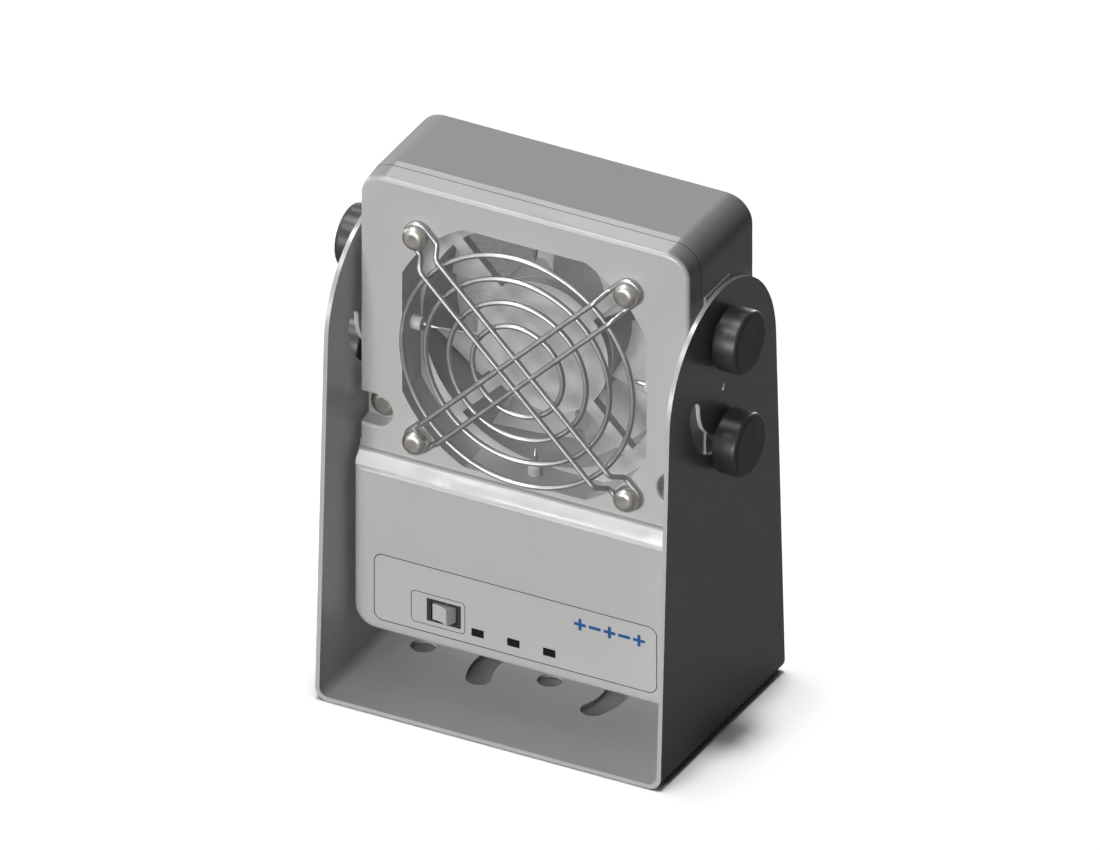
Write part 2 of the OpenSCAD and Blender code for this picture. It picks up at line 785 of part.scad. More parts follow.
// A pan head screw along Y, head to the front, whose head sits at depth y
module pan_screw(r_head, h_head, r_round, y, y_end) {
    turned_y(0, 0) rounded_outline(
        [[0, y], [0, y - h_head], [r_head, y - h_head], [r_head, y]],
        [0, 0, r_round, 0]);
    rod_y(0, 0, screw_r, y, y_end);
}

module guard_screws() {
    color([0.72, 0.70, 0.68]) at_fan_screws()
        pan_screw(head_r, head_h, head_round_r, y_loop - wire_r, y_back - wall_t / 2 - screw_gap);
}

module cover_screws() {
    color([0.72, 0.70, 0.68]) for (sx = [-1, 1])
        translate([sx * cover_screw_x, 0, z_cover_screw])
            pan_screw(cover_head_r, cover_head_h, cover_round_r, y_ledge,
                y_ledge_back + cover_screw_bite);
}

// ---------- fan ----------

motor_base_t = 2;
bearing_r = 3;
tube_r = 4;
hub_wall = 1.2;
hub_front_gap = 0.5;
hub_back_gap = 1.2;
tube_end_gap = 1.4;
fan_waist = 0.8;
strut_w = 3;
y_motor = y_fan + motor_base_t;
y_hub = y_motor + hub_front_gap;
y_hub_back = y_fan_back - hub_back_gap;
y_tube_end = y_hub_back - hub_wall - tube_end_gap;

module fan_frame() {
    color([0.62, 0.62, 0.62]) difference() {
        union() {
            translate([0, 0, z_tilt]) {
                for (y = [y_fan, y_fan_back - fan_flange])
                    from_front(y, y + fan_flange) rounded_rect(fan_size, fan_size, fan_corner_r);
                from_front(y_fan, y_fan_back) intersection() {
                    circle(fan_half + fan_waist, $fn = 96);
                    square(fan_size, center = true);
                }
            }
        }
        difference() {
            rod_y(0, z_tilt, fan_bore_r, y_fan - cut, y_fan_back + cut, $fn = 96);
            rod_y(0, z_tilt, hub_r, y_fan - 2 * cut, y_motor);
            rod_y(0, z_tilt, tube_r, y_fan - 2 * cut, y_tube_end);
            for (a = [45, -45])
                translate([0, 0, z_tilt]) rotate([0, a, 0])
                    block([-fan_half, y_fan - 2 * cut, -strut_w / 2], [fan_half, y_motor, strut_w / 2]);
        }
        rod_y(0, z_tilt, bearing_r, y_motor, y_tube_end + cut);
        at_fan_screws() rod_y(0, 0, fan_hole_r, y_fan - cut, y_fan_back + cut);
    }
}

bearing_len = 3;
bearing_sink = 0.4;
module fan_bearings() {
    color([0.70, 0.58, 0.35]) for (y = [y_motor + bearing_sink, y_tube_end - bearing_len - bearing_sink])
        difference() {
            rod_y(0, z_tilt, bearing_r - slip / 2, y, y + bearing_len);
            rod_y(0, z_tilt, shaft_r + slip / 2, y - cut, y + bearing_len + cut);
        }
}

stator_r = 12;
core_r = 6.4;
pole_count = 6;
pole_w = 2.2;
shoe_w = 8.4;
shoe_t = 1.4;
coil_w = 4.6;
coil_over = 1;
coil_gap = 0.45;
stator_lift = 2.6;
stator_len = 4.4;
y_stator = y_motor + stator_lift;
y_stator_end = y_stator + stator_len;
module at_poles() {
    for (i = [0 : pole_count - 1]) translate([0, 0, z_tilt]) rotate([0, i * 360 / pole_count, 0]) children();
}

module fan_stator() {
    color([0.45, 0.45, 0.48]) difference() {
        union() {
            rod_y(0, z_tilt, core_r, y_stator, y_stator_end);
            at_poles() block([tube_r + cut, y_stator, -pole_w / 2],
                [stator_r - shoe_t / 2, y_stator_end, pole_w / 2]);
            intersection() {
                difference() {
                    rod_y(0, z_tilt, stator_r, y_stator, y_stator_end);
                    rod_y(0, z_tilt, stator_r - shoe_t, y_stator - cut, y_stator_end + cut);
                }
                at_poles() block([core_r, y_stator, -shoe_w / 2], [stator_r + cut, y_stator_end, shoe_w / 2]);
            }
        }
        rod_y(0, z_tilt, tube_r + slip, y_stator - cut, y_stator_end + cut);
    }
}

module stator_coils() {
    far = stator_r - shoe_t - coil_gap;
    color([0.72, 0.40, 0.20]) at_poles() difference() {
        block([core_r + coil_gap, y_stator - coil_over, -coil_w / 2],
            [far, y_stator_end + coil_over, coil_w / 2]);
        block([core_r, y_stator - slip, -pole_w / 2 - slip],
            [far + cut, y_stator_end + slip, pole_w / 2 + slip]);
    }
}

fan_board_t = 1;
fan_board_gap = 1.3;
module fan_board() {
    color([0.10, 0.35, 0.20]) difference() {
        rod_y(0, z_tilt, hub_r - hub_wall - fan_board_gap, y_motor, y_motor + fan_board_t);
        rod_y(0, z_tilt, tube_r + slip, y_motor - cut, y_motor + fan_board_t + cut);
    }
}

// Blade sections: pitch and chord change from root to tip
blade_stations = 5;
blade_steps = 6;
root_pitch = 48;
tip_pitch = 27;
root_chord = 12.4;
tip_chord = 18;
blade_camber = 1.5;
blade_tip_r = fan_bore_r - tip_gap;
blade_root_r = hub_r - hub_wall / 2;

// A point of a blade: k runs out along the blade, s along its chord, side picks the face
function blade_point(k, s, side) =
    let (
        r = blade_root_r + k * (blade_tip_r - blade_root_r),
        pitch = root_pitch + k * (tip_pitch - root_pitch),
        chord = root_chord + k * (tip_chord - root_chord),
        along = (s - 0.5) * chord,
        bow = 4 * blade_camber * s * (1 - s) + side * blade_t * (0.5 - 0.35 * abs(2 * s - 1)),
        around = (along * cos(pitch) - bow * sin(pitch)) / r * 180 / PI,
        axial = along * sin(pitch) + bow * cos(pitch)
    )
    [r * cos(around), axial, r * sin(around)];

module fan_blade() {
    n = 2 * (blade_steps + 1);
    loops = [for (i = [0 : blade_stations]) each concat(
        [for (j = [0 : blade_steps]) blade_point(i / blade_stations, j / blade_steps, 1)],
        [for (j = [blade_steps : -1 : 0]) blade_point(i / blade_stations, j / blade_steps, -1)])];
    sides = [for (i = [0 : blade_stations - 1], j = [0 : n - 1]) let (
        a = i * n + j, b = i * n + (j + 1) % n) each [[a, b + n, b], [a, a + n, b + n]]];
    // A cap closes a section by joining each point to its opposite on the other face
    function cap(first, flip) = [for (j = [0 : blade_steps - 1]) let (
        a = first + j, b = first + j + 1, c = first + n - 2 - j, d = first + n - 1 - j)
        each flip ? [[a, b, c], [a, c, d]] : [[a, c, b], [a, d, c]]];
    polyhedron(loops, concat(sides, cap(0, true), cap(blade_stations * n, false)));
}

hub_edge_r = 1;
boss_wall = 1.2;
boss_gap = 0.3;
shaft_cover = 0.4;
module fan_rotor() {
    y_blades = (y_hub + y_hub_back) / 2 - blade_camber / 2;
    color([0.66, 0.66, 0.66]) {
        difference() {
            turned_y(0, z_tilt) rounded_outline(
                [[0, y_hub_back], [0, y_hub], [hub_r, y_hub], [hub_r, y_hub_back]],
                [0, 0, 0, hub_edge_r]);
            difference() {
                rod_y(0, z_tilt, hub_r - hub_wall, y_hub - cut, y_hub_back - hub_wall);
                rod_y(0, z_tilt, shaft_r + boss_wall, y_tube_end + boss_gap, y_hub_back);
            }
            rod_y(0, z_tilt, shaft_r, y_hub - cut, y_hub_back - shaft_cover);
        }
        for (i = [0 : blade_count - 1])
            translate([0, y_blades, z_tilt]) rotate([0, i * 360 / blade_count, 0]) fan_blade();
    }
}

yoke_t = 0.6;
yoke_in = 0.3;
magnet_in = 1.2;
magnet_end_gap = 0.4;
magnet_air_gap = 0.5;
shaft_end_gap = 0.2;
module rotor_yoke() {
    color([0.50, 0.50, 0.52]) difference() {
        rod_y(0, z_tilt, hub_r - hub_wall - slip, y_hub + yoke_in, y_hub_back - hub_wall);
        rod_y(0, z_tilt, hub_r - hub_wall - yoke_t, y_hub, y_hub_back - hub_wall + cut);
    }
}

module rotor_magnet() {
    color([0.20, 0.20, 0.21]) difference() {
        rod_y(0, z_tilt, hub_r - hub_wall - yoke_t - slip, y_hub + magnet_in,
            y_hub_back - hub_wall - magnet_end_gap);
        rod_y(0, z_tilt, stator_r + magnet_air_gap, y_hub, y_hub_back - hub_wall + cut);
    }
}

module rotor_shaft() {
    color([0.80, 0.80, 0.82]) rod_y(0, z_tilt, shaft_r, y_motor + shaft_end_gap, y_hub_back - shaft_cover);
}

// ---------- emitters and electronics ----------

holder_proud = 2.4;
collar_step = 0.8;
needle_tip_r = 0.06;
holder_near = outlet_flat - holder_proud;
holder_far = outlet_flat + duct_wall + holder_collar;
module at_needles() {
    for (a = [0 : 90 : 270]) translate([0, y_needle, z_tilt]) rotate([0, a, 0]) children();
}

module emitter_holders() {
    color([0.80, 0.80, 0.78]) at_needles() difference() {
        union() {
            rod_x(0, 0, holder_r, holder_near, holder_far);
            rod_x(0, 0, holder_r + collar_step, holder_far - holder_collar, holder_far);
        }
        rod_x(0, 0, needle_r, holder_near - cut, holder_far + cut);
    }
}

module emitter_needles() {
    free = holder_near - needle_len;
    point = needle_len / 2;
    color([0.55, 0.55, 0.58]) at_needles() {
        rod_x(0, 0, needle_r, free + point, holder_far);
        translate([free, 0, 0]) rotate([0, 90, 0]) cylinder(h = point, r1 = needle_tip_r, r2 = needle_r);
    }
}

hv_side_gap = 3;
hv_floor_gap = 2;
hv_edge_r = 1.5;
module high_voltage_module() {
    low = z_low + wall_t + hv_floor_gap;
    high = z_tilt - fan_half - hv_top_gap;
    color([0.16, 0.16, 0.17])
        translate([-half_w + wall_t + hv_side_gap + hv_w / 2, 0, (low + high) / 2])
            from_front(y_back_in - hv_d, y_back_in) rounded_rect(hv_w, high - low, hv_edge_r);
}

module control_board() {
    color([0.08, 0.33, 0.20]) difference() {
        block([-board_w / 2, y_board, z_board], [board_w / 2, y_board_back, z_board_top]);
        at_board_posts() rod_y(0, 0, board_screw_r + screw_gap, y_board - cut, y_board_back + cut);
        for (s = [-1, 1]) switch_pin(s, slip);
    }
}

board_screw_bite = 3;
board_head_r = 2.1;
board_head_h = 1.3;
module board_screws() {
    color([0.78, 0.77, 0.74]) at_board_posts() {
        rod_y(0, 0, board_screw_r, y_board - board_screw_bite, y_board_back);
        rod_y(0, 0, board_head_r, y_board_back, y_board_back + board_head_h);
    }
}

// Capacitor, transformer and connector in a row on the rear of the board, under its upper edge
row_drop = 10;
capacitor_r = 4;
capacitor_len = 9;
capacitor_in = 8;
transformer = [11, 7, 12];
transformer_gap = 5;
connector = [12, 5, 5];
connector_in = 6;
module board_components() {
    z_row = z_board_top - row_drop;
    x_capacitor = board_w / 2 - capacitor_in;
    x_transformer = x_capacitor - capacitor_r - transformer_gap;
    color([0.20, 0.22, 0.26]) {
        rod_y(x_capacitor, z_row, capacitor_r, y_board_back, y_board_back + capacitor_len);
        translate([x_transformer - transformer.x, y_board_back, z_row - transformer.z / 2]) cube(transformer);
        translate([connector_in - board_w / 2, y_board_back, z_row]) cube(connector);
    }
}

led = [1.6, 1.6, 1.2];
module status_leds() {
    color([0.30, 0.75, 0.35]) for (i = [0, 1, 2])
        translate([bezel_x + window_right + i * window_pitch, y_board - led.y, z_window])
            translate([-led.x / 2, 0, -led.z / 2]) cube(led);
}

module status_windows() {
    color([0.05, 0.05, 0.05]) window_row(0, y_lower, y_board - led.y);
}

module operating_panel() {
    color([0.73, 0.73, 0.73]) difference() {
        translate([0, 0, z_panel + panel_h / 2]) from_front(y_lower, y_panel)
            rounded_rect(panel_w, panel_h, panel_r);
        translate([bezel_x, 0, z_bezel]) from_front(y_lower - cut, y_panel + cut)
            rounded_rect(bezel_w + 2 * slip, bezel_h + 2 * slip, bezel_r + slip);
        window_row(slip, y_lower - cut, y_panel + cut);
    }
}

// ---------- switch ----------

rocker_gap = 0.4;
rocker_sink = 1.2;
rocker_room = 2.6;
trunnion_r = 0.6;
y_rocker = y_lower + rocker_sink;
module switch_bezel() {
    color([0.73, 0.73, 0.73]) difference() {
        translate([bezel_x, 0, z_bezel]) from_front(y_lower, y_panel) rounded_rect(bezel_w, bezel_h, bezel_r);
        switch_cut(slip, y_lower - cut, y_panel + cut);
    }
}

module switch_body() {
    w = rocker_w / 2 + rocker_gap;
    h = (rocker_h + rocker_gap) / 2;
    color([0.15, 0.15, 0.15]) difference() {
        switch_cut(0, y_lower, y_board);
        translate([switch_x, 0, z_bezel]) block([-w, y_lower - cut, -h], [w, y_rocker + rocker_room, h]);
        translate([switch_x, y_rocker, z_bezel - switch_h / 2 - cut])
            cylinder(h = switch_h + 2 * cut, r = trunnion_r + slip);
    }
}

pin_w = 0.6;
pin_h = 1.6;
pin_x = 2.2;
pin_len = 2;
module switch_pin(side, grow) {
    translate([switch_x + side * pin_x, 0, z_bezel])
        block([-pin_w / 2 - grow, y_board - grow, -pin_h / 2 - grow],
            [pin_w / 2 + grow, y_board_back + pin_len, pin_h / 2 + grow]);
}

module switch_terminals() {
    color([0.75, 0.72, 0.66]) for (s = [-1, 1]) switch_pin(s, 0);
}

// Seen from above: two raised ends with a hollow between them, drawn level and then tipped
ridge_in = 0.65;
ridge_r = 0.15;
ridge_proud = 2.2;
shoulder_y = 0.3;
shoulder_r = 0.3;
keel_y = 1.6;
keel_r = 0.6;
hollow_r = 5.5;
module switch_rocker() {
    side = rocker_w / 2;
    ridge = side - ridge_in;
    dip = hollow_r - sqrt(hollow_r * hollow_r - ridge * ridge);
    color([0.80, 0.80, 0.80]) translate([switch_x, y_rocker, z_bezel]) rotate([0, 0, -rocker_tilt]) {
        translate([0, 0, -rocker_h / 2]) linear_extrude(rocker_h) difference() {
            rounded_outline(
                [
                    [ridge, -ridge_proud],
                    [side, shoulder_y],
                    [0, keel_y],
                    [-side, shoulder_y],
                    [-ridge, -ridge_proud]
                ],
                [ridge_r, shoulder_r, keel_r, shoulder_r, ridge_r]);
            translate([0, -ridge_proud + dip - hollow_r]) circle(hollow_r, $fn = 96);
        }
        translate([0, 0, -switch_h / 2 + slip]) cylinder(h = switch_h - 2 * slip, r = trunnion_r);
    }
}

// ---------- power inlet ----------

inlet_floor_gap = 3;
inlet_flange = 1;
inlet_flange_t = 1.5;
inlet_hole_len = 9;
z_inlet = z_low + wall_t + inlet_floor_gap + inlet_h / 2;
module inlet_box(grow, y0, y1) {
    translate([x_inlet, 0, z_inlet])
        block([-inlet_w / 2 - grow, y0, -inlet_h / 2 - grow], [inlet_w / 2 + grow, y1, inlet_h / 2 + grow]);
}

module power_inlet() {
    color([0.12, 0.12, 0.12]) difference() {
        union() {
            inlet_box(0, y_back - inlet_d, y_back);
            inlet_box(inlet_flange, y_back_in - inlet_flange_t, y_back_in);
        }
        rod_y(x_inlet, z_inlet, inlet_r, y_back - inlet_hole_len, y_back + cut);
    }
}

// ---------- knobs ----------

module threaded_inserts() {
    color([0.78, 0.62, 0.32]) at_studs() difference() {
        rod_x(0, 0, insert_r, x_insert, half_w);
        rod_x(0, 0, stud_r + slip, x_insert - cut, half_w + cut);
    }
}

module knob_washers() {
    color([0.10, 0.10, 0.10]) at_studs() difference() {
        rod_x(0, 0, washer_r, arm_out + slip, arm_out + slip + washer_t);
        rod_x(0, 0, stud_r + slip, arm_out, arm_out + slip + washer_t + cut);
    }
}

knob_cap = 2;
knob_rear_r = 0.4;
stud_in = 0.5;
x_knob = arm_out + washer_t + 2 * slip;
x_stud_end = x_knob + knob_len - knob_cap;
module knob(side, up) {
    color([0.06, 0.06, 0.06]) mirror([side < 0 ? 1 : 0, 0, 0])
        turned_x(0, z_tilt + up * knob_offset) difference() {
            rounded_outline(
                [[0, x_knob], [knob_r, x_knob], [knob_r, x_knob + knob_len], [0, x_knob + knob_len]],
                [0, knob_rear_r, knob_edge_r, 0]);
            translate([0, x_knob - cut]) square([stud_r, x_stud_end - x_knob + cut]);
        }
}

module stud(side, up) {
    color([0.75, 0.74, 0.72]) mirror([side < 0 ? 1 : 0, 0, 0])
        rod_x(0, z_tilt + up * knob_offset, stud_r, x_insert + stud_in, x_stud_end);
}

module knob_left_top() { knob(-1, 1); }
module knob_left_bottom() { knob(-1, -1); }
module knob_right_top() { knob(1, 1); }
module knob_right_bottom() { knob(1, -1); }
module stud_left_top() { stud(-1, 1); }
module stud_left_bottom() { stud(-1, -1); }
module stud_right_top() { stud(1, 1); }
module stud_right_bottom() { stud(1, -1); }

bracket();
front_cover();
rear_housing();
intake_grille();
guard_arms();
guard_rings();
guard_screws();
cover_screws();
fan_frame();
fan_bearings();
fan_stator();
stator_coils();
fan_board();
fan_rotor();
rotor_yoke();
rotor_magnet();
rotor_shaft();
emitter_holders();
emitter_needles();
high_voltage_module();
control_board();
board_screws();
board_components();
status_leds();
status_windows();
operating_panel();
switch_bezel();
switch_body();
switch_terminals();
switch_rocker();
power_inlet();
threaded_inserts();
knob_washers();
knob_left_top();
knob_left_bottom();
knob_right_top();
knob_right_bottom();
stud_left_top();
stud_left_bottom();
stud_right_top();
stud_right_bottom();
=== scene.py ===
# %% [markdown]
# # A bench ionising blower, dressed over its CAD model
# The blower is a small painted box with a fan behind a wire guard, held by four knobs in a bent steel
# bracket. Its pieces come from CAD at their true size and place. This script gives every piece its finish
# and adds the fine pieces that CAD leaves plain: round wires, weld spots, seam lines and the marks on the
# operating panel.

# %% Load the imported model
import json
import math
import bmesh
import bpy
from mathutils import Matrix, Vector


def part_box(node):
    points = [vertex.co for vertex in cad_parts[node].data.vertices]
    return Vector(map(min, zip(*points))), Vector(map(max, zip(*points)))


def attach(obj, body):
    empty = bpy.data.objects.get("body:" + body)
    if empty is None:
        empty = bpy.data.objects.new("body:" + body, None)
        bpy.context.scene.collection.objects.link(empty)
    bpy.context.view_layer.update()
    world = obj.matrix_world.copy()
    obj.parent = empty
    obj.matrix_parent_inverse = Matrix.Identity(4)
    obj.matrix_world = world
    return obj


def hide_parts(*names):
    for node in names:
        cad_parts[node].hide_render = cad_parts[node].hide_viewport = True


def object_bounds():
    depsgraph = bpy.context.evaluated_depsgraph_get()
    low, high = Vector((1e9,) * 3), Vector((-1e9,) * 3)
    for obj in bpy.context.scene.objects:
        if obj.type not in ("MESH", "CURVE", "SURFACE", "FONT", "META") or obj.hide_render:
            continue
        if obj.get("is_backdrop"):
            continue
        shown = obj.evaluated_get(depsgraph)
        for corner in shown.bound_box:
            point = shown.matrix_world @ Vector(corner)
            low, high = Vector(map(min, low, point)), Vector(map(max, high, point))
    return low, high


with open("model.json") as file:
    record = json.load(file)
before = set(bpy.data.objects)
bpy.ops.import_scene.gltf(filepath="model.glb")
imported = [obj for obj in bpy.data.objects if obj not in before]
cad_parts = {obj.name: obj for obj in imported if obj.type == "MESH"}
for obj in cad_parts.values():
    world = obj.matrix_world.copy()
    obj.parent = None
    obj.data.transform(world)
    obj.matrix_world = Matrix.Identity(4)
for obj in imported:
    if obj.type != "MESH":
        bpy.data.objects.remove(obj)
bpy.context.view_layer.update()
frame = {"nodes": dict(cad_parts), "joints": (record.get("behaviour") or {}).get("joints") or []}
MM = 0.001
print("pieces in the frame:", len(frame["nodes"]))

# %% [markdown]
# ## The camera
# The blower is seen from its front right and from above, the way a catalogue shows it. A parallel camera
# keeps upright edges upright and equal lengths equal, so it is an orthographic one. It looks at a point on
# the blower's centre line a little above half its height.

# %% Camera
VIEW_AZIMUTH = math.radians(27.85)
VIEW_ELEVATION = math.radians(30.97)
VIEW_WIDTH = 0.2307
CAMERA_AWAY = 0.8
FARTHEST_SEEN = 10
LOOK_AT = Vector((0.0, 0.0, 0.0634))

towards_camera = Vector((
    math.sin(VIEW_AZIMUTH) * math.cos(VIEW_ELEVATION),
    -math.cos(VIEW_AZIMUTH) * math.cos(VIEW_ELEVATION),
    math.sin(VIEW_ELEVATION),
))
camera_data = bpy.data.cameras.new("catalogue_camera")
camera_data.type = "ORTHO"
camera_data.ortho_scale = VIEW_WIDTH
camera_data.clip_end = FARTHEST_SEEN
camera = bpy.data.objects.new("catalogue_camera", camera_data)
camera.location = LOOK_AT + towards_camera * CAMERA_AWAY
camera.rotation_euler = (-towards_camera).to_track_quat("-Z", "Y").to_euler()
bpy.context.scene.collection.objects.link(camera)
bpy.context.scene.camera = camera
bpy.context.scene.view_settings.view_transform = "Standard"
print("camera at", [round(v, 3) for v in camera.location])

# %% [markdown]
# ## Places taken from the frame
# Every added piece sits on a CAD piece, so its place is worked out from that piece's box. The tilt axis and
# the fan's axis cross at one point, which is the pivot of the tilt joint.

# %% Places
arms_low, arms_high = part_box("guard_arms")
rings_low, rings_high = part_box("guard_rings")
panel_low, panel_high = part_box("operating_panel")
bezel_low, bezel_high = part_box("switch_bezel")
joints = {joint["name"]: joint for joint in frame["joints"]}
FAN_CENTRE = Vector(joints["tilt"]["pos_m"])
PANEL_FACE = panel_low.y
print("fan centre:", FAN_CENTRE, "panel face at y =", round(PANEL_FACE, 4))

# %% [markdown]
# ## Finishes
# A finish starts from one shader with plain numbers on its sockets. What varies over the surface is added
# on top: a faint cloud in the colour, a drift in the roughness, and a fine bump. All of them read Object
# coordinates, so they stay on the piece when it moves. Noise hardly ever leaves the span from 0.3 to 0.7, so
# that span is stretched over the two colours, or the two values, that a finish drifts between.

# %% Helpers for finishes
NOISE_LOW, NOISE_HIGH = 0.3, 0.7


def new_finish(name, colour, roughness, metallic=0.0, specular=0.5):
    """Makes a material with one shader and plain numbers on its sockets."""
    material = bpy.data.materials.new(name)
    material.use_nodes = True
    shader = material.node_tree.nodes["Principled BSDF"]
    shader.inputs["Base Color"].default_value = (*colour, 1)
    shader.inputs["Roughness"].default_value = roughness
    shader.inputs["Metallic"].default_value = metallic
    shader.inputs["Specular IOR Level"].default_value = specular
    return material


def object_noise(material, scale, detail=2.0):
    """Adds a noise texture in Object coordinates; scale is in features per metre."""
    nodes, links = material.node_tree.nodes, material.node_tree.links
    place = nodes.new("ShaderNodeTexCoord")
    noise = nodes.new("ShaderNodeTexNoise")
    noise.inputs["Scale"].default_value = scale
    noise.inputs["Detail"].default_value = detail
    links.new(place.outputs["Object"], noise.inputs["Vector"])
    return noise


def cloud_colour(material, dark, light, scale):
    """Lets the colour drift between two close shades."""
    nodes, links = material.node_tree.nodes, material.node_tree.links
    noise = object_noise(material, scale, detail=3.0)
    ramp = nodes.new("ShaderNodeValToRGB")
    ramp.color_ramp.elements[0].position = NOISE_LOW
    ramp.color_ramp.elements[1].position = NOISE_HIGH
    ramp.color_ramp.elements[0].color = (*dark, 1)
    ramp.color_ramp.elements[1].color = (*light, 1)
    links.new(noise.outputs["Fac"], ramp.inputs["Fac"])
    links.new(ramp.outputs["Color"], nodes["Principled BSDF"].inputs["Base Color"])


def drift_roughness(material, low, high, scale):
    """Lets the roughness drift between two values."""
    nodes, links = material.node_tree.nodes, material.node_tree.links
    noise = object_noise(material, scale)
    spread = nodes.new("ShaderNodeMapRange")
    spread.inputs["From Min"].default_value = NOISE_LOW
    spread.inputs["From Max"].default_value = NOISE_HIGH
    spread.inputs["To Min"].default_value = low
    spread.inputs["To Max"].default_value = high
    links.new(noise.outputs["Fac"], spread.inputs["Value"])
    links.new(spread.outputs["Result"], nodes["Principled BSDF"].inputs["Roughness"])


def fine_bump(material, scale, height, strength=1.0):
    """Raises the surface by a fine noise; height is in metres."""
    nodes, links = material.node_tree.nodes, material.node_tree.links
    noise = object_noise(material, scale)
    bump = nodes.new("ShaderNodeBump")
    bump.inputs["Strength"].default_value = strength
    bump.inputs["Distance"].default_value = height
    links.new(noise.outputs["Fac"], bump.inputs["Height"])
    links.new(bump.outputs["Normal"], nodes["Principled BSDF"].inputs["Normal"])


# %% [markdown]
# ### Painted housing and bracket
# Bracket and housing share one light grey satin coat. Sprayed paint has a very fine orange peel: bumps
# under a millimetre wide and a few microns high, which soften a highlight without showing as texture. The
# panel is a smooth printed film of the same grey.

# %% Coat of the housing and the bracket
def satin_coat(name):
    """The light grey coat with its orange peel."""
    coat = new_finish(name, (0.485, 0.485, 0.48), 0.29, specular=0.6)
    cloud_colour(coat, (0.475, 0.475, 0.472), (0.497, 0.497, 0.49), 45)
    drift_roughness(coat, 0.28, 0.31, 160)
    fine_bump(coat, 1700, 0.00001)
    return coat


def panel_film():
    """The inlaid panel: the same grey, as a smooth printed film with a faint grain."""
    film = new_finish("panel_film", (0.5, 0.5, 0.495), 0.36, specular=0.4)
    cloud_colour(film, (0.493, 0.493, 0.489), (0.507, 0.507, 0.501), 60)
    fine_bump(film, 3800, 0.000006)
    return film


# %% [markdown]
# ### Moulded plastics
# The fan, the needle holders, the switch and the knobs are moulded. Light parts get a soft sheen, the knobs
# a smooth black skin whose roughness drifts a little, as handled plastic does.

# %% Plastics
def fan_plastic():
    """Light grey moulded plastic of the fan and the intake grille."""
    plastic = new_finish("fan_plastic", (0.47, 0.47, 0.465), 0.45, specular=0.35)
    cloud_colour(plastic, (0.462, 0.462, 0.457), (0.478, 0.478, 0.473), 90)
    fine_bump(plastic, 2600, 0.000008)
    return plastic


def knob_plastic():
    """Smooth black plastic of the knobs."""
    plastic = new_finish("knob_plastic", (0.03, 0.03, 0.031), 0.34, specular=0.35)
    cloud_colour(plastic, (0.026, 0.026, 0.027), (0.036, 0.036, 0.037), 140)
    drift_roughness(plastic, 0.3, 0.42, 220)
    fine_bump(plastic, 3000, 0.000006)
    return plastic


def black_plastic():
    """Matt black of the switch body, the washers and the inlet."""
    plastic = new_finish("black_plastic", (0.02, 0.02, 0.021), 0.5, specular=0.35)
    cloud_colour(plastic, (0.016, 0.016, 0.017), (0.026, 0.026, 0.027), 300)
    fine_bump(plastic, 3500, 0.000008)
    return plastic


def rocker_plastic():
    """Light grey plastic of the rocker, a little glossier than the paint round it."""
    plastic = new_finish("rocker_plastic", (0.49, 0.49, 0.485), 0.32, specular=0.4)
    cloud_colour(plastic, (0.475, 0.475, 0.47), (0.505, 0.505, 0.5), 400)
    fine_bump(plastic, 4000, 0.000004)
    return plastic


def holder_plastic():
    """Off-white insulating plastic of the needle holders."""
    plastic = new_finish("holder_plastic", (0.55, 0.55, 0.53), 0.4, specular=0.4)
    cloud_colour(plastic, (0.53, 0.53, 0.51), (0.57, 0.57, 0.55), 300)
    fine_bump(plastic, 3000, 0.000006)
    return plastic


def smoked_window():
    """Near-black smoked plastic of the indicator windows."""
    window = new_finish("smoked_window", (0.004, 0.004, 0.0045), 0.18, specular=0.4)
    cloud_colour(window, (0.003, 0.003, 0.0034), (0.006, 0.006, 0.0065), 500)
    return window


# %% [markdown]
# ### Metals
# The guard is plated wire with a satin shine. The screws are plated steel with a warm cast. Inside are brass
# inserts, bronze bearings, copper coils, core steel and a ferrite ring. The boards' green lacquer and the
# status lamps' epoxy are set here too.

# %% Metals
def drawn_wire():
    """Satin plated wire of the finger guard."""
    wire = new_finish("drawn_wire", (0.38, 0.38, 0.39), 0.42, metallic=1.0)
    cloud_colour(wire, (0.35, 0.35, 0.36), (0.41, 0.41, 0.42), 260)
    drift_roughness(wire, 0.38, 0.47, 500)
    fine_bump(wire, 2500, 0.000006)
    return wire


def plated_steel():
    """Warm grey plated steel of screws, studs and terminals."""
    steel = new_finish("plated_steel", (0.47, 0.45, 0.425), 0.34, metallic=1.0)
    cloud_colour(steel, (0.43, 0.41, 0.385), (0.51, 0.49, 0.465), 500)
    drift_roughness(steel, 0.28, 0.42, 700)
    fine_bump(steel, 3200, 0.000006)
    return steel


def warm_metal(name, dark, light, roughness):
    """Brass, bronze and copper."""
    metal = new_finish(name, light, roughness, metallic=1.0)
    cloud_colour(metal, dark, light, 300)
    fine_bump(metal, 2500, 0.000006)
    return metal


def dark_iron(name, dark, light):
    """Core steel of the fan motor, and its ferrite ring."""
    iron = new_finish(name, light, 0.6, metallic=0.4)
    cloud_colour(iron, dark, light, 400)
    fine_bump(iron, 2200, 0.000015)
    return iron


def solder_mask():
    """Green lacquer of the circuit boards."""
    mask = new_finish("solder_mask", (0.02, 0.12, 0.05), 0.3)
    cloud_colour(mask, (0.016, 0.10, 0.04), (0.024, 0.14, 0.06), 120)
    return mask


def clear_green():
    """Green epoxy of the status lamps."""
    epoxy = new_finish("clear_green", (0.10, 0.55, 0.12), 0.15)
    cloud_colour(epoxy, (0.08, 0.48, 0.10), (0.12, 0.60, 0.14), 600)
    return epoxy


# %% [markdown]
# ## Each CAD piece gets its finish
# A dictionary says which finish each CAD node wears. The names are the nodes' own names.

